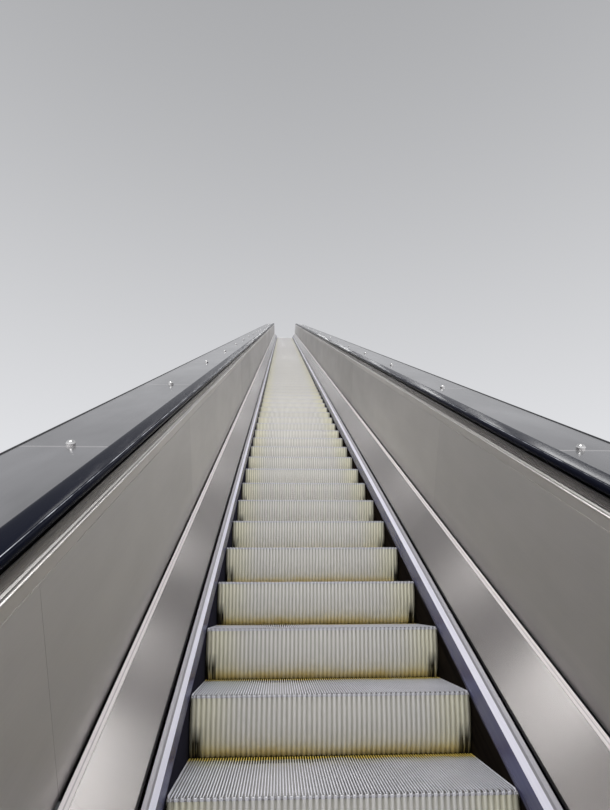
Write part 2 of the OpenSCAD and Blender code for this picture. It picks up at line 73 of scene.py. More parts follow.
# %% Camera
FRAME_WIDTH, FRAME_HEIGHT = 610, 810
FOCAL_PIXELS = 529.1
NEAR_CLIP, FAR_CLIP = 0.05, 300
camera_place = Vector((-0.194, 3.868, 1.528))
yaw, pitch, roll = math.radians(2.78), math.radians(20.52), math.radians(-0.31)

camera_data = bpy.data.cameras.new("rider_camera")
camera_data.lens = camera_data.sensor_width * FOCAL_PIXELS / max(FRAME_WIDTH, FRAME_HEIGHT)
camera_data.clip_start, camera_data.clip_end = NEAR_CLIP, FAR_CLIP
camera = bpy.data.objects.new("rider_camera", camera_data)
bpy.context.scene.collection.objects.link(camera)
bpy.context.scene.camera = camera

ahead = Vector((math.sin(yaw) * math.cos(pitch), math.cos(yaw) * math.cos(pitch), math.sin(pitch)))
level_right = Vector((math.cos(yaw), -math.sin(yaw), 0))
level_up = level_right.cross(ahead)
right = math.cos(roll) * level_right + math.sin(roll) * level_up
up = math.cos(roll) * level_up - math.sin(roll) * level_right
camera.matrix_world = Matrix.Translation(camera_place) @ Matrix((right, up, -ahead)).transposed().to_4x4()
print("lens", round(camera_data.lens, 2), "mm")

# %% [markdown]
# ## The nose line
# Every long part of an escalator follows one line through the step noses: level at the landing, round
# a curve, up a straight slope, round a second curve and level again. The start of that line is read
# from the frame's lower comb plate, and the rest is worked out from the slope and the radii.

# %% The nose line
INCLINE = math.radians(30)
LOWER_RADIUS, UPPER_RADIUS = 2.0, 2.6
FLAT_RUN, COMB_RUN = 1.2, 0.45
BAY, BAYS = 1.8, 19
SLOPE = BAY * BAYS
COMB_CLEARANCE = 0.002

body_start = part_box("lower_comb_plate")[0].y
tread_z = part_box("lower_comb_plate")[0].z - COMB_CLEARANCE
lower_curve_y = body_start + COMB_RUN + FLAT_RUN
lower_arc, upper_arc = LOWER_RADIUS * INCLINE, UPPER_RADIUS * INCLINE
slope_foot = Vector((0, lower_curve_y + LOWER_RADIUS * math.sin(INCLINE),
                     tread_z + LOWER_RADIUS * (1 - math.cos(INCLINE))))
slope_way = Vector((0, math.cos(INCLINE), math.sin(INCLINE)))
slope_head = slope_foot + SLOPE * slope_way
upper_curve_y = slope_head.y + UPPER_RADIUS * math.sin(INCLINE)
upper_z = slope_head.z + UPPER_RADIUS * (1 - math.cos(INCLINE))
body_end = upper_curve_y + FLAT_RUN + COMB_RUN


def square_to(turn):
    """The direction that stands square to the nose line where it slopes by turn."""
    return Vector((0, -math.sin(turn), math.cos(turn)))


def on_nose_line(s):
    """The point s metres along the nose line from the lower curve, and the slope there."""
    if s < 0:
        return Vector((0, lower_curve_y + s, tread_z)), 0.0
    if s < lower_arc:
        turn = s / LOWER_RADIUS
        return Vector((0, lower_curve_y + LOWER_RADIUS * math.sin(turn),
                       tread_z + LOWER_RADIUS * (1 - math.cos(turn)))), turn
    if s < lower_arc + SLOPE:
        return slope_foot + (s - lower_arc) * slope_way, INCLINE
    left = max(0.0, lower_arc + SLOPE + upper_arc - s)
    turn = left / UPPER_RADIUS
    past = max(0.0, s - lower_arc - SLOPE - upper_arc)
    return Vector((0, upper_curve_y - UPPER_RADIUS * math.sin(turn) + past,
                   upper_z - UPPER_RADIUS * (1 - math.cos(turn)))), turn


# %% [markdown]
# ## Making meshes from points
# New pieces are built from lists of points and faces. That is plain, exact and quick, and it suits
# parts that are one profile repeated or swept many times. Each new piece rides on the frame's one
# body, and the solid of the frame that it stands for is hidden.

# %% A helper for new pieces
def make_piece(name, points, faces, smooth, stands_for=None):
    mesh = bpy.data.meshes.new(name)
    mesh.from_pydata([tuple(p) for p in points], [], faces)
    mesh.polygons.foreach_set("use_smooth", np.array(smooth, bool))
    mesh.update()
    piece = bpy.data.objects.new(name, mesh)
    bpy.context.scene.collection.objects.link(piece)
    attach(piece, "root")
    if stands_for:
        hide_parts(stands_for)
    return piece


# %% [markdown]
# ## One cleated step
# A step is a casting with a tread of thin cleats, whose grooves let the comb's teeth reach below the
# feet, and a curved riser of broad rounded ribs, two cleats to a rib. The frame's flight steps are
# plain wedges, so that the solid model stays light. Here the cleats and the ribs are real geometry,
# because they catch the light and hold the dirt. The outer corners of the nose are rounded, and the
# riser curves back towards its foot, so that the next step can rise past it. The step is drawn once
# and every place on the line gets a copy.

# %% Sizes of a step
STEP_WIDTH, STEP_PITCH = 1.0, 0.406
TREAD_DEPTH = STEP_PITCH - 0.006
CLEATS, CLEAT_WIDTH, GROOVE = 112, 0.0034, 0.010
RIBS = CLEATS // 2
RIB_GROOVE = 0.005
# one rib as (place across in rib pitches, share of the groove's depth)
RIB_PROFILE = [(-0.5, 1.0), (-0.36, 0.76), (-0.24, 0.14), (0.0, 0.0), (0.24, 0.14), (0.36, 0.76)]
NOSE_BAR_DROP, NOSE_BAR_DEPTH = 0.004, 0.006
CORNER = 0.022
RISER_FOOT = 0.215
# drops below the nose at which the riser has a row of points
RISER_DROPS = (NOSE_BAR_DROP, CORNER / 2, 0.045, 0.090, 0.135, 0.180, RISER_FOOT)
SIDE_POINTS = 7
# the closed back as (behind the nose, height from the tread)
UNDERSIDE = [(0.095, -RISER_FOOT), (TREAD_DEPTH, -0.035), (TREAD_DEPTH, -GROOVE)]
ROLLER_AXLE, ROLLER_RADIUS, ROLLER_WIDTH, ROLLER_INSET = (0.150, -0.190), 0.040, 0.024, 0.040
ROLLER_SIDES = 18
cleat_pitch = STEP_WIDTH / CLEATS
rib_pitch = STEP_WIDTH / RIBS


def riser_face(drop):
    """How far back the riser lies at a drop below the nose: an arc about the tread's back edge."""
    return TREAD_DEPTH - math.sqrt(TREAD_DEPTH ** 2 - drop ** 2)


def round_corner(reach):
    """How far a rounded corner cuts in, at a distance from the edge that it starts on."""
    return 0.0 if reach >= CORNER else CORNER - math.sqrt(CORNER ** 2 - (CORNER - reach) ** 2)


# %% [markdown]
# The mesh is gathered part by part: the cleats of the tread, the ribbed riser with its nose bar and
# rounded corners, the plain back and sides, and two rollers. A boolean of a hundred bars would give
# the same shape slowly and with stray slivers, while rows of points joined by faces stay clean. Each
# point also notes its place, so that the finish can find the nose, the foot and the grooves later.

# %% The step's mesh, part by part
class StepMesh:
    """Points, faces and dirt places of one step. A place is (riser share, how far along, how deep)."""

    def __init__(self):
        self.points, self.faces, self.smooth, self.places = [], [], [], []

    def add(self, points, faces, smooth, riser, along, deep):
        first = len(self.points)
        self.points += points
        self.faces += [tuple(first + i for i in face) for face in faces]
        self.smooth += [smooth] * len(faces)
        self.places += [(riser, a, d) for a, d in zip(along, deep)]

    def sheet(self, rows, smooth, riser, along, deep):
        """Faces between rows of points; along has a value for each row, deep one for each point of a row."""
        wide = len(rows[0])
        points = [p for row in rows for p in row]
        faces = [(r * wide + i, r * wide + i + 1, (r + 1) * wide + i + 1, (r + 1) * wide + i)
                 for r in range(len(rows) - 1) for i in range(wide - 1)]
        all_along = [a for a in along for _ in range(wide)]
        self.add(points, faces, smooth, riser, all_along, list(deep) * len(rows))


def cleat_sides(i):
    """Left and right side of cleat i; the outermost ones reach the step's edge."""
    middle = -STEP_WIDTH / 2 + (i + 0.5) * cleat_pitch
    return (-STEP_WIDTH / 2 if i == 0 else middle - CLEAT_WIDTH / 2,
            STEP_WIDTH / 2 if i == CLEATS - 1 else middle + CLEAT_WIDTH / 2)


def cleat_top(x, y):
    """Height of a cleat's top, which drops at the outer ends of the nose."""
    return 0.0 if y > 0 else -min(GROOVE, round_corner(STEP_WIDTH / 2 - abs(x)))


def add_tread(step):
    sides = [cleat_sides(i) for i in range(CLEATS)]
    for a, b in sides:
        for y, order, deep in ((0.0, (0, 1, 2, 3), (0, 0, 0, 0)), (TREAD_DEPTH, (3, 2, 1, 0), (1, 1, 0, 0))):
            end = [(a, y, -GROOVE), (b, y, -GROOVE), (b, y, cleat_top(b, y)), (a, y, cleat_top(a, y))]
            step.add(end, [order], False, 0.0, [y / TREAD_DEPTH] * len(end), deep)
    stations = (0.0, CORNER, TREAD_DEPTH)
    rows = [[(x, y, z) for a, b in sides
             for x, z in ((a, -GROOVE), (a, cleat_top(a, y)), (b, cleat_top(b, y)), (b, -GROOVE))]
            for y in stations]
    step.sheet(rows, False, 0.0, [y / TREAD_DEPTH for y in stations], [1, 0, 0, 1] * CLEATS)


def add_riser(step):
    profile = [(-STEP_WIDTH / 2 + (i + 0.5 + t) * rib_pitch, d) for i in range(RIBS) for t, d in RIB_PROFILE]
    profile.append((STEP_WIDTH / 2, 1.0))
    rows = []
    for drop in RISER_DROPS:
        depth = 0.0 if drop == NOSE_BAR_DROP else RIB_GROOVE
        lean = math.asin(drop / TREAD_DEPTH)
        reach = STEP_WIDTH / 2 - round_corner(drop)
        rows.append([(max(-reach, min(reach, x)), riser_face(drop) + d * depth * math.cos(lean),
                      -drop + d * depth * math.sin(lean)) for x, d in profile])
    shares = [drop / RISER_FOOT for drop in RISER_DROPS]
    step.sheet(rows[::-1], True, 1.0, shares[::-1], [d for _, d in profile])
    end = STEP_WIDTH / 2 - round_corner(NOSE_BAR_DROP)
    bar = riser_face(NOSE_BAR_DROP)
    bar_back = bar + NOSE_BAR_DEPTH
    bar_line = [(bar, -NOSE_BAR_DROP), (bar_back, -NOSE_BAR_DROP), (bar_back, -GROOVE)]
    step.sheet([[(-end, y, z), (end, y, z)] for y, z in bar_line], False, 0.0, [0.0] * len(bar_line), (0, 0))
    rounded = ((CORNER, 0.1), (CORNER / 2, 0.05), (NOSE_BAR_DROP, 0.02))
    for side in (-1, 1):
        edge = [[(side * (STEP_WIDTH / 2 - round_corner(drop)), riser_face(drop), -drop),
                 (side * STEP_WIDTH / 2, riser_face(drop) + round_corner(drop), -drop)][::side]
                for drop, _ in rounded]
        step.sheet(edge, True, 1.0, [share for _, share in rounded], (0, 0))


def add_body(step):
    half = STEP_WIDTH / 2
    back = [(riser_face(RISER_FOOT), -RISER_FOOT)] + UNDERSIDE
    step.sheet([[(half, y, z), (-half, y, z)] for y, z in back], False, 0.0, [1.0] * len(back), (1, 1))
    arc = [(CORNER, -GROOVE)] + [(riser_face(d), -d) for d in np.linspace(CORNER, RISER_FOOT, SIDE_POINTS)]
    for x, turn in ((-half, 1), (half, -1)):
        side = (arc + UNDERSIDE)[::turn]
        step.add([(x, y, z) for y, z in side], [tuple(range(len(side)))], False, 0.0,
                 [1.0] * len(side), [1.0] * len(side))


def add_rollers(step):
    sides = ROLLER_SIDES
    y0, z0 = ROLLER_AXLE
    ring = [(y0 + ROLLER_RADIUS * math.cos(a), z0 + ROLLER_RADIUS * math.sin(a))
            for a in np.linspace(0, 2 * math.pi, sides, endpoint=False)]
    inset = STEP_WIDTH / 2 - ROLLER_INSET
    for x0 in (-inset, inset - ROLLER_WIDTH):
        points = [(x, y, z) for x in (x0, x0 + ROLLER_WIDTH) for y, z in ring]
        faces = [(i, sides + i, sides + (i + 1) % sides, (i + 1) % sides) for i in range(sides)]
        faces += [tuple(range(sides)), tuple(range(2 * sides - 1, sides - 1, -1))]
        step.add(points, faces, False, 0.0, [1.0] * len(points), [1.0] * len(points))


step = StepMesh()
add_tread(step)
add_riser(step)
add_body(step)
add_rollers(step)
step_triangles = sum(len(face) - 2 for face in step.faces)
print("one step has", step_triangles, "triangles")

# %% [markdown]
# ## The step band
# Steps follow each other at one pitch along the nose line and always stay level. An array modifier
# can't follow a line that bends while its copies stay upright, so each step is placed by the formula
# above. The band is five pieces, one for each group in the frame, and every step carries a random
# tone of its own from a seeded generator, since castings that have worn for years never match.

# %% Lay the steps along the line
UNDER_COMB = 0.255
FIRST_NOSE = -FLAT_RUN - UNDER_COMB
GROUPS = [("steps_lower_landing", 4), ("steps_flight_low", 29), ("steps_flight_middle", 29),
          ("steps_flight_high", 31), ("steps_upper_landing", 4)]
STEP_PLACE = "step_place"
chance = np.random.default_rng(33)


def lay_steps(node, first, count):
    points = np.array(step.points)
    places = np.array(step.places)
    noses = [on_nose_line(FIRST_NOSE + (first + k) * STEP_PITCH)[0] for k in range(count)]
    all_points = np.concatenate([points + np.array(n) for n in noses])
    faces = [tuple(k * len(points) + i for i in face) for k in range(count) for face in step.faces]
    piece = make_piece("cleated_" + node, all_points, faces, step.smooth * count, node)
    tones = np.repeat(chance.random(count), len(points))
    colours = np.column_stack([np.tile(places[:, :2], (count, 1)), tones, np.tile(places[:, 2], count)])
    attribute = piece.data.attributes.new(STEP_PLACE, "FLOAT_COLOR", "POINT")
    attribute.data.foreach_set("color", colours.astype(np.float32).ravel())
    return piece


step_pieces = []
laid = 0
for node, count in GROUPS:
    step_pieces.append(lay_steps(node, laid, count))
    laid += count
largest = max(count for _, count in GROUPS)
print(laid, "steps,", laid * step_triangles, "triangles in all and", largest * step_triangles,
      "in the largest piece")

# %% [markdown]
# ## Handrails
# The handrail is an endless rubber belt with a C section, gripping a guide. The solid one is cut into
# lengths for the physics model; the real one shows no break, so here the section is swept in one go:
# out of the lower inlet, round the newel, along the whole run and back in at the top. A curve with a
# bevel profile would twist or thin at the turns, so the sweep places every ring itself.

# %% Handrail section and route
RAIL_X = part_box("handrail_right")[0].x + 0.040
RAIL_TOP, NEWEL_RADIUS, NEWEL_OVER, RETURN_RUN = 0.895, 0.350, 0.100, 0.160
NEWEL_STATIONS, ARC_STATIONS = 25, 13
CROWN_FALL = 0.0007
SHOULDER, SHOULDER_RADIUS, SHOULDER_START, SHOULDER_DROP = 0.028, 0.012, 0.001, 0.0135
LIP, LIP_RADIUS, LIP_START, LIP_DROP = 0.030, 0.010, 0.0145, 0.0155
SLOT = [(0.021, 0.030), (0.021, 0.023), (0.027, 0.023), (0.027, 0.011)]


def handrail_section():
    """Half of the C section as (across, depth below the top), then mirrored to close it."""
    half = [(SHOULDER * t, CROWN_FALL * t * t) for t in (0.35, 0.7)]
    half += [(SHOULDER + SHOULDER_RADIUS * math.sin(a), SHOULDER_START + SHOULDER_DROP * (1 - math.cos(a)))
             for a in np.radians((0, 20, 40, 60, 78, 90))]
    half += [(LIP + LIP_RADIUS * math.cos(a), LIP_START + LIP_DROP * math.sin(a))
             for a in np.radians((25, 50, 75, 90))]
    half += SLOT
    return half + [(-x, d) for x, d in half[::-1]]


def newel_turn(y, z, start, end):
    """Rings round a newel as (point on the belt's top line, heading)."""
    return [(Vector((0, y - NEWEL_RADIUS * math.sin(a), z + NEWEL_RADIUS * math.cos(a))), a)
            for a in map(float, np.linspace(start, end, NEWEL_STATIONS))]


def arc_stations():
    """Places along the lower and the upper curve, where a swept piece needs a ring."""
    return [float(start + arc * t) for start, arc in ((0.0, lower_arc), (lower_arc + SLOPE, upper_arc))
            for t in np.linspace(0, 1, ARC_STATIONS)]


def handrail_route():
    low_z, high_z = (z + RAIL_TOP - NEWEL_RADIUS for z in (tread_z, upper_z))
    low_y, high_y = body_start - NEWEL_OVER, body_end + NEWEL_OVER
    back = Vector((0, RETURN_RUN, 0))
    rings = newel_turn(low_y, low_z, math.pi, 0.0)
    rings.insert(0, (rings[0][0] + back, math.pi))
    for s in arc_stations():
        place, turn = on_nose_line(s)
        rings.append((place + RAIL_TOP * square_to(turn), turn))
    rings += newel_turn(high_y, high_z, 0.0, -math.pi)
    rings.append((rings[-1][0] - back, -math.pi))
    return rings


# %% [markdown]
# The sweep sets the section on every ring and joins neighbouring rings with faces. The angle between
# faces decides where the shading breaks: the crown and the shoulders flow, while the lips and the
# slot underneath keep their edges.

# %% Sweep the handrails
SHARP_ANGLE = math.radians(50)


def sweep_handrail(name, side, node):
    section, rings = handrail_section(), handrail_route()
    wide = len(section)
    points = []
    for place, heading in rings:
        out = square_to(heading)
        points += [place - d * out + Vector((side * RAIL_X + x, 0, 0)) for x, d in section]
    faces = []
    last = (len(rings) - 1) * wide
    for here in range(0, last, wide):
        there = here + wide
        faces += [(here + i, there + i, there + (i + 1) % wide, here + (i + 1) % wide) for i in range(wide)]
    faces += [tuple(range(wide)), tuple(range(last + wide - 1, last - 1, -1))]
    piece = make_piece(name, points, faces, [True] * len(faces), node)
    print(name, len(faces), "faces")
    return piece


handrails = [sweep_handrail("handrail_belt_left", -1, "handrail_left"),
             sweep_handrail("handrail_belt_right", 1, "handrail_right")]
for rail in handrails:
    rail.data.set_sharp_from_angle(angle=SHARP_ANGLE)

# %% [markdown]
# ## Ledges and seams of the balustrade
# Between the rail and the handrail guide runs a narrow sloping ledge, which leaves only a thin dark
# line under the guide, and a strip lies behind the seam between the rail and the panels. Both are
# plain sections carried along the nose line, so one short sweep makes all four. They rest on the
# rail and the panel of the frame, and they end with them.

# %% Ledges and seam strips
PANEL_RUN = 0.380
# both sections as (across from the middle, above the nose line)
LEDGE = [(0.690, 0.8165), (0.696, 0.8165), (0.704, 0.8215), (0.704, 0.8232), (0.695, 0.8228),
         (0.691, 0.8190)]
SEAM_STRIP = [(0.6875, 0.7762), (0.6940, 0.7762), (0.6940, 0.7788), (0.6875, 0.7788)]


def sweep_strip(name, side, section):
    arcs = [-FLAT_RUN - PANEL_RUN, *arc_stations()]
    arcs.append(arcs[-1] + FLAT_RUN + PANEL_RUN)
    points = []
    for s in arcs:
        place, turn = on_nose_line(s)
        points += [place + h * square_to(turn) + Vector((side * x, 0, 0)) for x, h in section]
    wide, last = len(section), (len(arcs) - 1) * len(section)
    faces = []
    for here in range(0, last, wide):
        there = here + wide
        faces += [(here + i, here + (i + 1) % wide, there + (i + 1) % wide, there + i) for i in range(wide)]
    faces += [tuple(range(wide - 1, -1, -1)), tuple(range(last, last + wide))]
    if side > 0:
        faces = [face[::-1] for face in faces]
    return make_piece(name, points, faces, [False] * len(faces))


ledges = [sweep_strip("rail_ledge_left", -1, LEDGE),
          sweep_strip("rail_ledge_right", 1, LEDGE)]
seam_strips = [sweep_strip("panel_seam_left", -1, SEAM_STRIP),
               sweep_strip("panel_seam_right", 1, SEAM_STRIP)]
print("ledge and seam strips run from", round(min(v.co.y for v in ledges[0].data.vertices), 3), "to",
      round(max(v.co.y for v in ledges[0].data.vertices), 3), "m")

# %% [markdown]
# ## Writing finishes
# A finish is a Principled shader with procedural nodes around it. The small class below keeps the
# node code short: it makes a node, sets its sockets and links what it is given. Values that are the
# same all over go straight onto the shader's sockets.

# %% A helper for finishes
class Finish:
    def __init__(self, name, colour, metallic, roughness, **sockets):
        self.material = bpy.data.materials.new(name)
        self.material.use_nodes = True
        self.tree = self.material.node_tree
        self.shader = self.tree.nodes["Principled BSDF"]
        self.put(self.shader, {"Base Color": (*colour, 1), "Metallic": metallic, "Roughness": roughness})
        self.put(self.shader, {key.replace("_", " "): value for key, value in sockets.items()})

    def put(self, node, values):
        """Sets a node's sockets, by name or number, to values or to other nodes' outputs."""
        for key, value in values.items():
            if isinstance(value, bpy.types.NodeSocket):
                self.tree.links.new(value, node.inputs[key])
            else:
                node.inputs[key].default_value = value

    def node(self, kind, inputs, **settings):
        node = self.tree.nodes.new(kind)
        for key, value in settings.items():
            setattr(node, key, value)
        self.put(node, inputs)
        return node

    def math(self, operation, a, b=0.0):
        return self.node("ShaderNodeMath", {0: a, 1: b}, operation=operation).outputs[0]

    def ramp(self, value, low, high, to_low=0.0, to_high=1.0, smooth=False):
        """Maps a range of one value to another range, and stops at its ends."""
        return self.node("ShaderNodeMapRange", {"Value": value, "From Min": low, "From Max": high,
                                                "To Min": to_low, "To Max": to_high},
                         interpolation_type="SMOOTHSTEP" if smooth else "LINEAR").outputs["Result"]

    def mix(self, share, a, b, blend="MIX"):
        """Mixes two colours by a share."""
        node = self.node("ShaderNodeMix", {"Factor": share}, data_type="RGBA", blend_type=blend)
        for socket, value in ((node.inputs[6], a), (node.inputs[7], b)):
            if isinstance(value, bpy.types.NodeSocket):
                self.tree.links.new(value, socket)
            else:
                socket.default_value = (*value, 1)
        return node.outputs[2]

    def place(self):
        """The part's own coordinates."""
        return self.node("ShaderNodeTexCoord", {}).outputs["Object"]

    def slope_place(self, stretch=(1, 1, 1)):
        """Coordinates laid along the slope from its foot: across, along, above the nose line."""
        turned = Matrix.Rotation(-INCLINE, 3, "X") @ slope_foot
        laid_out = self.node("ShaderNodeMapping", {"Vector": self.place(), "Rotation": (-INCLINE, 0, 0),
                                                   "Location": -turned}).outputs[0]
        return self.node("ShaderNodeMapping", {"Vector": laid_out, "Scale": stretch}).outputs[0]

    def axis(self, vector, number):
        """One coordinate of a vector: 0 across, 1 along, 2 up."""
        return self.node("ShaderNodeSeparateXYZ", {0: vector}).outputs[number]

    def facing(self, number):
        """How far the surface faces across (0), along (1) or up (2)."""
        return self.axis(self.node("ShaderNodeNewGeometry", {}).outputs["Normal"], number)

    def absolute(self, value):
        return self.math("ABSOLUTE", value)

    def lift(self):
        """Height above the nose line, at right angles to it, on the slope and at both landings."""
        slope = self.axis(self.slope_place(), 2)
        level = self.axis(self.place(), 2)
        low = self.math("MINIMUM", slope, self.math("SUBTRACT", level, tread_z))
        return self.math("MAXIMUM", low, self.math("SUBTRACT", level, upper_z))

    def noise(self, vector, scale, detail=2.0, roughness=0.5):
        return self.node("ShaderNodeTexNoise", {"Vector": vector, "Scale": scale, "Detail": detail,
                                                "Roughness": roughness}).outputs[0]

    def bump(self, height, strength, distance):
        normal = self.node("ShaderNodeBump", {"Height": height, "Strength": strength, "Distance": distance})
        self.put(self.shader, {"Normal": normal.outputs[0]})


def dress(finish, *nodes):
    """Gives a finish to solids of the frame."""
    for name in nodes:
        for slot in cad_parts[name].material_slots:
            slot.material = finish.material


# %% [markdown]
# ## Brushed stainless steel
# Most of the machine is sheet steel, brushed along the flight. A metal's colour comes from what it
# mirrors, so the finish is mostly in the roughness: fine streaks along the brushing, a slow mottle
# from hands and cleaning, and a slightly different tone in each bay's sheet. The streaks stretch a
# noise along the slope. The shader's own anisotropy then spreads highlights across the brush lines.
# An even sheet keeps one roughness all over, so that what it mirrors shows in clean patches.

# %% Brushed steel
def brushed_steel(name, colour, roughness, streak=0.05, mottle=0.06, tone=0.05, half_bay=False,
                  tangent=(1, 0, 0), anisotropy=0.5, even=False):
    finish = Finish(name, colour, 1.0, roughness, Anisotropic=anisotropy)
    streaks = finish.noise(finish.slope_place((260, 2.2, 260)), 1.0, detail=3.0)
    clouds = finish.noise(finish.slope_place((2.2, 0.9, 2.2)), 1.0, detail=3.0, roughness=0.6)
    along = finish.axis(finish.slope_place(), 1)
    from_joint = finish.math("ADD", along, BAY / 2 if half_bay else 0.0)
    bay = finish.math("FLOOR", finish.math("DIVIDE", from_joint, BAY))
    sheet = finish.node("ShaderNodeTexWhiteNoise", {"W": bay}, noise_dimensions="1D").outputs["Value"]
    slow = finish.math("ADD", finish.ramp(clouds, 0.3, 0.7, -mottle, mottle),
                       finish.ramp(sheet, 0, 1, -tone, tone))
    level = finish.math("ADD", finish.ramp(streaks, 0.3, 0.7, -streak, streak), slow)
    brighter = finish.math("ADD", level, 1.0)
    shade = finish.node("ShaderNodeCombineColor", {0: brighter, 1: brighter, 2: brighter}).outputs[0]
    finish.put(finish.shader, {
        "Base Color": finish.mix(1.0, colour, shade, "MULTIPLY"),
        "Tangent": finish.node("ShaderNodeCombineXYZ", dict(enumerate(tangent))).outputs[0]})
    if not even:
        smoother = finish.math("MULTIPLY", level, -0.6)
        finish.put(finish.shader, {"Roughness": finish.math("ADD", smoother, roughness)})
        finish.bump(streaks, 0.05, 0.0004)
    return finish


def add_over(finish, share, colour):
    """Lays a colour over what the finish has so far, by a share."""
    so_far = finish.shader.inputs["Base Color"].links[0].from_socket
    finish.put(finish.shader, {"Base Color": finish.mix(share, so_far, colour)})


# %% [markdown]
# The inner decks slope up from the skirts and are even, since they show the clearest reflections.
# Their narrow edges are painted dark, as shade. The flat outer decks are more uneven, and their
# edges are rougher and painted dark as shade; a bright line at the joint of two sheets is a painted
# highlight. Such lines could be painted by hand. Here the height above the nose line and the way
# that the surface faces place them, so that they follow the whole run.

# %% Decks
EDGE_SHADE = (0.03, 0.028, 0.03)
DECK_EDGE_TOP, DECK_EDGE_FOOT = 0.1175, 0.1155
JOINT_HIGHLIGHT_REACH, JOINT_HIGHLIGHT_CORE = 0.010, 0.002
OUTER_ROUGHNESS, OUTER_EDGE_ROUGHNESS = 0.18, 0.50

inner_deck = brushed_steel("inner_deck_satin", (0.462, 0.441, 0.433), 0.27, streak=0.02, mottle=0.03,
                           half_bay=True, anisotropy=1.0, even=True)
upright = inner_deck.absolute(inner_deck.facing(0))
# painted shade: the deck's upright edge faces and its foot edge are darkened
add_over(inner_deck, inner_deck.ramp(upright, 0.93, 0.97), EDGE_SHADE)
add_over(inner_deck, inner_deck.ramp(inner_deck.lift(), DECK_EDGE_TOP, DECK_EDGE_FOOT), EDGE_SHADE)
dress(inner_deck, "inner_deck_left", "inner_deck_right")

outer_deck = brushed_steel("outer_deck_satin", (0.415, 0.41, 0.42), OUTER_ROUGHNESS, streak=0.03, mottle=0.26,
                           even=True)
# painted highlight: a bright line across the outer deck at each sheet joint
to_joint = outer_deck.math("PINGPONG", outer_deck.axis(outer_deck.slope_place(), 1), BAY / 2)
add_over(outer_deck, outer_deck.ramp(to_joint, JOINT_HIGHLIGHT_REACH, JOINT_HIGHLIGHT_CORE), (0.80, 0.77, 0.77))
# painted shade: the outer decks' sideways-facing edges are darkened, and made rougher
shaded_deck_edge = outer_deck.ramp(outer_deck.absolute(outer_deck.facing(0)), 0.10, 0.35)
add_over(outer_deck, shaded_deck_edge, (0.12, 0.12, 0.125))
outer_deck.put(outer_deck.shader, {
    "Roughness": outer_deck.ramp(shaded_deck_edge, 0, 1, OUTER_ROUGHNESS, OUTER_EDGE_ROUGHNESS)})
dress(outer_deck, "outer_deck_left", "outer_deck_right")

# %% [markdown]
# The mouldings between deck and panel are paler and less metallic, with a thin line of painted
# shade at their fold. The panels are brushed up and down, and the rails above them too, so their
# highlights spread the other way. Painted shade darkens the panels towards their foot, and a painted
# shadow darkens the guides under the handrail.

# %% Mouldings, panels, rails and guides
MOULDING_FOLD, FOLD_REACH, FOLD_CORE = 0.656, 0.0022, 0.0008
PANEL_SHADE_TOP, PANEL_SHADE_FOOT = 0.36, 0.264
GUIDE_FOOT, GUIDE_TOP = 0.828, 0.862
UP_THE_PANEL = square_to(INCLINE)

moulding = brushed_steel("moulding_bright", (0.74, 0.69, 0.68), 0.40, streak=0.02, tone=0.0)
moulding.put(moulding.shader, {"Metallic": 0.45})
# painted shade: a thin dark line along the moulding's fold
across_moulding = moulding.absolute(moulding.axis(moulding.place(), 0))
from_fold = moulding.absolute(moulding.math("SUBTRACT", across_moulding, MOULDING_FOLD))
add_over(moulding, moulding.ramp(from_fold, FOLD_REACH, FOLD_CORE, 0.0, 0.6), (0.28, 0.26, 0.27))
dress(moulding, "deck_moulding_left", "deck_moulding_right")

panel = brushed_steel("panel_brushed", (0.495, 0.48, 0.463), 0.42, streak=0.012, mottle=0.06, tone=0.035,
                      half_bay=True, tangent=UP_THE_PANEL)
# painted shade: the panels darken towards their foot
add_over(panel, panel.ramp(panel.lift(), PANEL_SHADE_TOP, PANEL_SHADE_FOOT, 0.0, 0.5, smooth=True),
         (0.16, 0.15, 0.165))
dress(panel, "balustrade_panels_left", "balustrade_panels_right", "newels_left", "newels_right")

rail_steel = brushed_steel("rail_brushed", (0.56, 0.54, 0.515), 0.34, streak=0.01, tangent=UP_THE_PANEL)
dress(rail_steel, "balustrade_rails_left", "balustrade_rails_right")
for strip in ledges + seam_strips:
    strip.data.materials.append(rail_steel.material)

guide_steel = brushed_steel("guide_steel", (0.30, 0.285, 0.275), 0.28, streak=0.20)
# painted shadow: the guide darkens towards the handrail above it
add_over(guide_steel, guide_steel.ramp(guide_steel.lift(), GUIDE_FOOT, GUIDE_TOP, 0.0, 0.9),
         (0.01, 0.01, 0.012))
dress(guide_steel, "handrail_guide_left", "handrail_guide_right")

dress(brushed_steel("cap_steel", (0.50, 0.49, 0.47), 0.34), "end_caps")
dress(brushed_steel("cladding_grey", (0.50, 0.50, 0.51), 0.42, tangent=UP_THE_PANEL), "cladding_left",
      "cladding_right", "soffit_panels", "lower_end_plate", "upper_end_plate")

# %% [markdown]
# ## Bright trims and knobs
# A narrow bright anodised strip caps the skirt. Its face is nearly white, and the shelf above it is
# painted dark as shade; the way that the surface faces and its height tell the two apart. A polished
# round knob stands in the middle of the outer deck at each bay, so that nobody slides down it; fine
# smears keep it from being a perfect mirror.

# %% Trims and knobs
SHELF_FOOT, SHELF_TOP = 0.0945, 0.0965
trim = Finish("trim_bright", (0.86, 0.85, 0.94), 0.1, 0.34)
rubbed = trim.noise(trim.slope_place((60, 1.5, 60)), 1.0, detail=4.0)
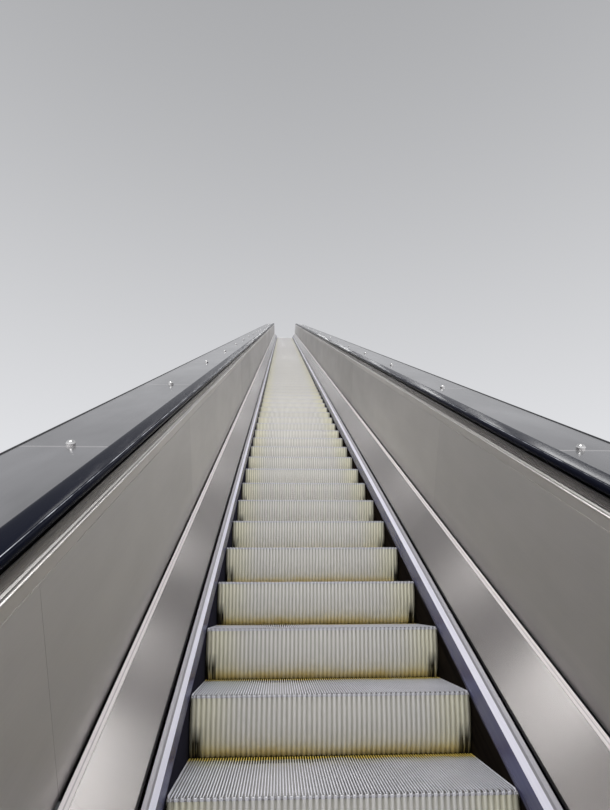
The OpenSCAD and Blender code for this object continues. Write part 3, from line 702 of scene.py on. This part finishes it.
# painted shade: the trim's upward-facing shelf is made dark
shelf = trim.math("MAXIMUM", trim.ramp(trim.facing(2), 0.50, 0.60),
                  trim.ramp(trim.lift(), SHELF_FOOT, SHELF_TOP))
trim_colour = trim.mix(trim.ramp(rubbed, 0.35, 0.7), (0.86, 0.85, 0.94), (0.74, 0.73, 0.83))
trim.put(trim.shader, {"Base Color": trim.mix(shelf, trim_colour, (0.26, 0.25, 0.27)),
                       "Roughness": trim.ramp(rubbed, 0.3, 0.7, 0.28, 0.42)})
dress(trim, "skirt_trims_left", "skirt_trims_right")
knob = Finish("knob_bright", (0.80, 0.79, 0.78), 1.0, 0.12)
smears = knob.noise(knob.place(), 90.0, detail=3.0)
knob.put(knob.shader, {"Roughness": knob.ramp(smears, 0.35, 0.7, 0.22, 0.34)})
dress(knob, "deck_knobs_left", "deck_knobs_right")

# %% [markdown]
# ## Skirt panels
# The skirts beside the steps have a dark low-friction coating. Above the nose line they stay a clean
# blue-grey; below it they go brown-black and matt, a little bluer on the left, partly as grease and
# shoe dirt rubbed in by the step edges and partly as painted shade beside the steps. The height over
# the nose line is worked out in the shader from the part's own coordinates, level at both landings
# and sloping between them. A noise makes its edge ragged.

# %% Skirt finish
def above_nose_line(finish):
    """Height above the nose line, from the part's coordinates, for any place along the run."""
    place = finish.place()
    start = slope_foot.y - (slope_foot.z - tread_z) / math.tan(INCLINE)
    end = slope_head.y + (upper_z - slope_head.z) / math.tan(INCLINE)
    nose_height = finish.ramp(finish.axis(place, 1), start, end, tread_z, upper_z)
    return finish.math("SUBTRACT", finish.axis(place, 2), nose_height)


RAGGED = 0.012
GRIME_SHADE_START, GRIME_SHADE_FULL = 0.004, -0.020
skirt = Finish("skirt_dark", (0.08, 0.08, 0.12), 0.0, 0.24)
scuff = skirt.noise(skirt.slope_place((8, 1.2, 30)), 1.0, detail=4.0, roughness=0.65)
ragged = skirt.math("ADD", above_nose_line(skirt), skirt.ramp(scuff, 0.3, 0.7, -RAGGED, RAGGED))
# partly grime and partly painted shade: below the nose line the skirt turns brown-black
grime_and_shade = skirt.ramp(ragged, GRIME_SHADE_START, GRIME_SHADE_FULL, smooth=True)
clean = skirt.mix(skirt.ramp(scuff, 0.35, 0.75), (0.080, 0.083, 0.185), (0.110, 0.112, 0.22))
dirty_and_shaded = skirt.mix(skirt.ramp(scuff, 0.3, 0.7), (0.005, 0.004, 0.004), (0.018, 0.014, 0.010))
to_left = skirt.ramp(skirt.axis(skirt.place(), 0), 0.1, -0.1)
dirty_and_shaded = skirt.mix(to_left, dirty_and_shaded, (0.024, 0.023, 0.033))
skirt.put(skirt.shader, {"Base Color": skirt.mix(grime_and_shade, clean, dirty_and_shaded),
                         "Roughness": skirt.ramp(grime_and_shade, 0, 1, 0.24, 0.60),
                         "Specular IOR Level": skirt.ramp(grime_and_shade, 0, 1, 0.5, 0.0)})
dress(skirt, "skirt_panels_left", "skirt_panels_right")

# %% [markdown]
# ## Worn cast aluminium
# The steps are cast aluminium gone cream with age: the ribs' crowns are worn pale, the grooves of
# ribs and cleats are darker, partly as dirt and partly as painted shade, and the tone shifts a little
# from step to step. Each point of a step notes whether it is on the riser, how far along it lies and
# how deep it is in a groove. An image could carry all this, but those three numbers let the shader
# find every place on every step.

# %% Step metal
aluminium = Finish("step_aluminium", (0.50, 0.48, 0.40), 0.35, 0.42)
places = aluminium.node("ShaderNodeAttribute", {}, attribute_name=STEP_PLACE, attribute_type="GEOMETRY")
parts = aluminium.node("ShaderNodeSeparateColor", {0: places.outputs["Color"]})
on_riser, along_face, step_tone = parts.outputs[0], parts.outputs[1], parts.outputs[2]
across = aluminium.axis(aluminium.place(), 0)
from_middle = aluminium.absolute(across)
patchy = aluminium.noise(aluminium.place(), 9.0, detail=4.0, roughness=0.6)
fine = aluminium.noise(aluminium.place(), 160.0, detail=2.0)
deep = places.outputs["Alpha"]

to_side = aluminium.ramp(from_middle, 0.30, 0.47, smooth=True)
crown_colour = aluminium.mix(to_side, (0.86, 0.84, 0.79), (0.92, 0.89, 0.70))
# partly dirt and partly painted shade: groove colours are darker than crowns and cleat tops
groove_colour = aluminium.mix(to_side, (0.54, 0.525, 0.46), (0.64, 0.61, 0.46))
riser_colour = aluminium.mix(aluminium.ramp(deep, 0.05, 0.85), crown_colour, groove_colour)
top_colour = aluminium.mix(aluminium.ramp(patchy, 0.35, 0.7), (0.78, 0.78, 0.84), (0.68, 0.68, 0.73))
tread_colour = aluminium.mix(aluminium.ramp(deep, 0.05, 0.6), top_colour, (0.38, 0.375, 0.38))
base = aluminium.mix(on_riser, tread_colour, riser_colour)
base = aluminium.mix(aluminium.ramp(step_tone, 0, 1, 0.0, 0.15), base, (0.48, 0.47, 0.42))

# %% [markdown]
# Dirt, wear and painted shade have their places. Treads have an ochre tint towards the back, and a
# line of gold ticks on the cleats where the next riser's foot rubs, with the grooves between them
# painted near-black as dirt and shade. Risers have an ochre fringe and a black line at the foot, a
# pale line under the nose, outer edges painted dark as dirt and as shade where the sides fall away, and
# black drips in the bottom corners. Bright dots at the nose are the worn ends of the ribs, with gaps
# between them painted dark as dirt and shade. Each is laid over the metal in turn, as a painter would
# glaze it.

# %% Step dirt, wear and painted shade
def lay(share, limit, part, colour):
    """Lays a colour over the steps where a share reaches, on risers or on treads alone."""
    where = on_riser if part == "riser" else aluminium.math("SUBTRACT", 1.0, on_riser)
    amount = aluminium.math("MULTIPLY", aluminium.math("MULTIPLY", share, limit), where)
    return aluminium.mix(amount, base, colour)


reach = aluminium.math("ADD", along_face, aluminium.ramp(patchy, 0.3, 0.7, -0.04, 0.04))
base = lay(aluminium.ramp(reach, 0.74, 0.92, smooth=True), 0.40, "tread", (0.56, 0.53, 0.26))
# gold ticks on the cleats; partly dirt and partly painted shade: the grooves between them near-black
gold_and_groove_shade = aluminium.mix(aluminium.ramp(deep, 0.05, 0.5), (0.80, 0.60, 0.10), (0.030, 0.022, 0.008))
base = lay(aluminium.ramp(reach, 0.885, 0.93), 0.95, "tread", gold_and_groove_shade)
base = lay(aluminium.ramp(reach, 0.74, 1.0, smooth=True), 0.85, "riser", (0.58, 0.45, 0.12))
base = lay(aluminium.ramp(along_face, 0.935, 0.955), 0.8, "riser", (0.020, 0.014, 0.006))
base = lay(aluminium.ramp(along_face, 0.058, 0.046), 0.9, "riser", (0.74, 0.73, 0.77))
# partly dirt and partly painted shade: the riser darkens at its outer edges
base = lay(aluminium.ramp(from_middle, 0.478, 0.492), 0.55, "riser", (0.12, 0.11, 0.08))
corner = aluminium.math("MULTIPLY", aluminium.ramp(from_middle, 0.445, 0.470),
                        aluminium.ramp(along_face, 0.45, 0.72))
drips = aluminium.noise(aluminium.node("ShaderNodeMapping", {
    "Vector": aluminium.place(), "Scale": (110, 3, 3)}).outputs[0], 1.0, detail=3.0)
dripped = aluminium.math("MULTIPLY", corner, aluminium.ramp(drips, 0.44, 0.49))
base = lay(dripped, 1.0, "riser", (0.018, 0.015, 0.010))
from_groove = aluminium.math("PINGPONG", aluminium.math("ADD", across, STEP_WIDTH / 2), rib_pitch / 2)
tips = aluminium.math("MULTIPLY", aluminium.ramp(along_face, 0.035, 0.0),
                      aluminium.ramp(from_groove, 0.28 * rib_pitch, 0.36 * rib_pitch))
base = lay(tips, 1.0, "tread", (0.95, 0.95, 0.95))
# partly dirt and partly painted shade: dark gaps between the cleat tips at the nose
gaps = aluminium.math("MULTIPLY", aluminium.ramp(along_face, 0.06, 0.03),
                      aluminium.ramp(from_groove, 0.24 * rib_pitch, 0.16 * rib_pitch))
base = lay(gaps, 0.85, "tread", (0.14, 0.13, 0.11))
aluminium.put(aluminium.shader, {"Base Color": base, "Roughness": aluminium.ramp(fine, 0.3, 0.7, 0.34, 0.50)})
aluminium.bump(fine, 0.15, 0.0004)
for piece in step_pieces:
    piece.data.materials.append(aluminium.material)

# %% [markdown]
# ## Handrail rubber
# The belt is smooth black rubber, polished by hands, so it mirrors light on its crown. Faint dust
# smears dull the shine here and there, and a broken pale line along each shoulder is a painted
# highlight. The way that the surface faces finds the shoulder on the slope and round the newels.

# %% Rubber finish
SHOULDER_FACING = 0.55
rubber = Finish("handrail_rubber", (0.005, 0.006, 0.012), 0.0, 0.20, Specular_IOR_Level=0.01)
dust = rubber.noise(rubber.slope_place((12, 2.0, 12)), 1.0, detail=4.0, roughness=0.6)
dusty = rubber.ramp(dust, 0.55, 0.80)
# painted highlight: a broken pale line along each shoulder
shoulder = rubber.absolute(rubber.math("SUBTRACT", rubber.absolute(rubber.facing(0)), SHOULDER_FACING))
broken = rubber.noise(rubber.slope_place((3, 5.0, 3)), 1.0, detail=4.0, roughness=0.7)
painted_highlight_line = rubber.math("MULTIPLY", rubber.ramp(shoulder, 0.075, 0.02),
                        rubber.ramp(broken, 0.42, 0.60, 0.12, 0.9))
black = rubber.mix(rubber.math("MULTIPLY", dusty, 0.12), (0.005, 0.006, 0.012), (0.10, 0.10, 0.11))
rubber.put(rubber.shader, {"Base Color": rubber.mix(painted_highlight_line, black, (0.62, 0.64, 0.68)),
                           "Roughness": rubber.ramp(dusty, 0, 1, 0.18, 0.34)})
for rail in handrails:
    rail.data.materials.append(rubber.material)

# %% [markdown]
# ## Landings, truss and brackets
# The landings have ribbed floor plates and cast comb plates. The truss and its brackets are painted
# grey, and are seen only from below or behind. The floor's ribs are shallow and many, so a bump from
# a sine of the distance across shows them well enough and costs no faces.

# %% Plain finishes
def painted(name, colour, roughness):
    finish = Finish(name, colour, 0.0, roughness)
    cloudy = finish.noise(finish.place(), 4.0, detail=5.0, roughness=0.6)
    darker = tuple(0.7 * c for c in colour)
    rougher = finish.ramp(cloudy, 0.3, 0.7, roughness - 0.06, roughness + 0.08)
    finish.put(finish.shader, {"Base Color": finish.mix(finish.ramp(cloudy, 0.35, 0.7), colour, darker),
                               "Roughness": rougher})
    return finish


dress(painted("truss_steel", (0.33, 0.34, 0.35), 0.5), "truss_left", "truss_right", "truss_crossbeams",
      "step_tracks")
dress(painted("bracket_steel", (0.28, 0.29, 0.30), 0.5), "lower_support_bracket", "upper_support_bracket")

RIB_SPACING = 0.020
ribbed = brushed_steel("floor_steel", (0.46, 0.46, 0.46), 0.38, tone=0.0)
wave = ribbed.math("SINE", ribbed.math("MULTIPLY", ribbed.axis(ribbed.place(), 0),
                                       2 * math.pi / RIB_SPACING))
ribbed.bump(ribbed.ramp(wave, -0.3, 0.3, smooth=True), 0.8, 0.002)
dress(ribbed, "lower_floor_plates", "upper_floor_plates")
cast = painted("comb_aluminium", (0.60, 0.60, 0.60), 0.42)
cast.put(cast.shader, {"Metallic": 0.7})
dress(cast, "lower_comb_plate", "upper_comb_plate", "lower_comb_teeth", "upper_comb_teeth")

# %% [markdown]
# ## Stage floor
# The part stands over a plain pale floor, which lies at its lowest point and catches its shadow. A
# single large face does: a curved backdrop would only add a horizon that the metal mirrors.

# %% Stage floor
FLOOR_SIZE = 240.0
floor_mesh = bpy.data.meshes.new("stage_floor")
corners = [(sx * FLOOR_SIZE / 2, body_end / 2 + sy * FLOOR_SIZE / 2, cad_lo.z)
           for sx, sy in ((-1, -1), (1, -1), (1, 1), (-1, 1))]
floor_mesh.from_pydata(corners, [], [(0, 1, 2, 3)])
floor = bpy.data.objects.new("stage_floor", floor_mesh)
bpy.context.scene.collection.objects.link(floor)
floor.data.materials.append(Finish("stage_floor", (0.72, 0.72, 0.72), 0.0, 0.9).material)

# %% [markdown]
# ## Sky
# The light is a soft studio. The sky lights everything evenly, while cameras and mirroring surfaces
# see it fall off from a pale horizon to a greyer top, because brushed metal only looks like metal
# when it has something bright and something darker to mirror.

# %% World
world = bpy.data.worlds.new("soft_studio")
bpy.context.scene.world = world
world.use_nodes = True
sky = world.node_tree
SKY_LIGHT, SKY_HORIZON, SKY_TOP, SKY_TOP_HEIGHT = 0.90, 0.92, 0.42, 0.85


def sky_node(kind, **inputs):
    """A node of the sky, with its sockets linked or set, by name or by number after an i."""
    node = sky.nodes.new(kind)
    for key, value in inputs.items():
        socket = node.inputs[int(key[1:]) if key[0] == "i" and key[1:].isdigit() else key.replace("_", " ")]
        if isinstance(value, bpy.types.NodeSocket):
            sky.links.new(value, socket)
        else:
            socket.default_value = value
    return node


sky_way = sky_node("ShaderNodeTexCoord").outputs["Generated"]
sky_height = sky_node("ShaderNodeSeparateXYZ", i0=sky_way).outputs[2]
seen_sky = sky_node("ShaderNodeMapRange", Value=sky_height, From_Min=0.0, From_Max=SKY_TOP_HEIGHT,
                    To_Min=SKY_HORIZON, To_Max=SKY_TOP).outputs[0]
paths = sky_node("ShaderNodeLightPath")
mirrored = sky_node("ShaderNodeMath", i0=paths.outputs["Is Camera Ray"], i1=paths.outputs["Is Glossy Ray"])
mirrored.operation = "MAXIMUM"
strength = sky_node("ShaderNodeMix", Factor=mirrored.outputs[0], i2=SKY_LIGHT, i3=seen_sky)
background = sky.nodes["Background"]
background.inputs["Color"].default_value = (0.96, 0.97, 1.0, 1)
sky.links.new(strength.outputs[0], background.inputs["Strength"])

# %% [markdown]
# ## Lamps
# One soft sun gives shape, and a row of soft boxes over the flight lights the steps from above. One
# long lamp would be simpler, but equal boxes keep the light even from the first step to the last. The
# boxes are hidden from mirroring surfaces, so that they leave no bright ladder in the decks.

# %% Lamps
SUN_POWER, SUN_ANGLE = 1.2, math.radians(25)
SUN_FROM = (-4, -14, 30)
TOP_BOXES, TOP_BOX_HEIGHT, TOP_BOX_SIZE, TOP_BOX_RADIANCE = 12, 4.2, (3.0, 3.2), 1.6


def add_lamp(name, kind, axes, place, **settings):
    """A lamp with its own axes: it shines along the third one, backwards."""
    data = bpy.data.lights.new(name, kind)
    lamp = bpy.data.objects.new(name, data)
    for key, value in settings.items():
        setattr(lamp if key.startswith("visible") else data, key, value)
    lamp.matrix_world = Matrix.Translation(place) @ Matrix(axes).transposed().to_4x4()
    lamp.visible_camera = False
    bpy.context.scene.collection.objects.link(lamp)
    return lamp


def add_box(name, out, along, place, size, radiance, **settings):
    """A soft box seen from the side that out points away from; along gives its long way."""
    return add_lamp(name, "AREA", (along.cross(out), along, out), place, shape="RECTANGLE", size=size[0],
                    size_y=size[1], energy=radiance * math.pi * size[0] * size[1], **settings)


sun_way = Vector(SUN_FROM).normalized()
sun_side = Vector((1, 0, 0)).cross(sun_way).normalized()
add_lamp("soft_sun", "SUN", (sun_side.cross(sun_way), sun_side, sun_way), slope_head, energy=SUN_POWER,
         angle=SUN_ANGLE)
slope_up = square_to(INCLINE)
for i in range(TOP_BOXES):
    place = slope_foot + (i + 0.5) * TOP_BOX_SIZE[1] * slope_way + TOP_BOX_HEIGHT * slope_up
    add_box(f"top_box_{i}", slope_up, slope_way, place, TOP_BOX_SIZE, TOP_BOX_RADIANCE, visible_glossy=False)

# %% [markdown]
# ## Side cards
# Brushed sheet looks lifeless until it mirrors bright and dark by turns, so a row of narrow cards on
# each side gives the sloping inner decks brighter stretches. Each card has a start and an end along
# the slope and a strength. The cards show only in gloss, and light linking keeps them off the flat
# outer decks and the knobs, where from other sides they would be seen as white blobs.

# %% Side cards
CARD_WIDTH = 0.85
RIGHT_CARD_AT, LEFT_CARD_AT = (2.0, 2.0), (-1.335, 2.48)
RIGHT_CARDS = [(3.3, 4.72, 11.2), (5.6, 6.35, 6.3), (7.9, 9.1, 5.6), (12.6, 14.0, 5.0),
               (18.5, 20.5, 6.5), (27, 30, 7.5)]
LEFT_CARDS = [(3.75, 4.80, 11.0), (6.2, 7.0, 6.4), (9.9, 10.9, 4.6), (14.8, 16.4, 5.0),
              (22.5, 25, 6.0), (32, 35, 7.0)]

card_skips = bpy.data.collections.new("card_skips")
for node in ("outer_deck_left", "outer_deck_right", "deck_knobs_left", "deck_knobs_right"):
    card_skips.objects.link(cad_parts[node])
for skipped in card_skips.collection_objects:
    skipped.light_linking.link_state = "EXCLUDE"


def add_cards(name, at, cards):
    across_and_up = at[0] * Vector((1, 0, 0)) + at[1] * slope_up
    for i, (start, end, radiance) in enumerate(cards):
        place = slope_foot + (start + end) / 2 * slope_way + across_and_up
        card = add_box(f"{name}_{i}", across_and_up.normalized(), slope_way, place, (CARD_WIDTH, end - start),
                       radiance, visible_diffuse=False)
        card.light_linking.receiver_collection = card_skips


add_cards("card_right", RIGHT_CARD_AT, RIGHT_CARDS)
add_cards("card_left", LEFT_CARD_AT, LEFT_CARDS)
print(TOP_BOXES, "soft boxes above the flight and", len(RIGHT_CARDS) + len(LEFT_CARDS), "cards beside it")

# %% [markdown]
# ## View transform
# The view transform stays plain, so that colours render about as they are written.

# %% Finish
bpy.context.scene.view_settings.view_transform = "Standard"
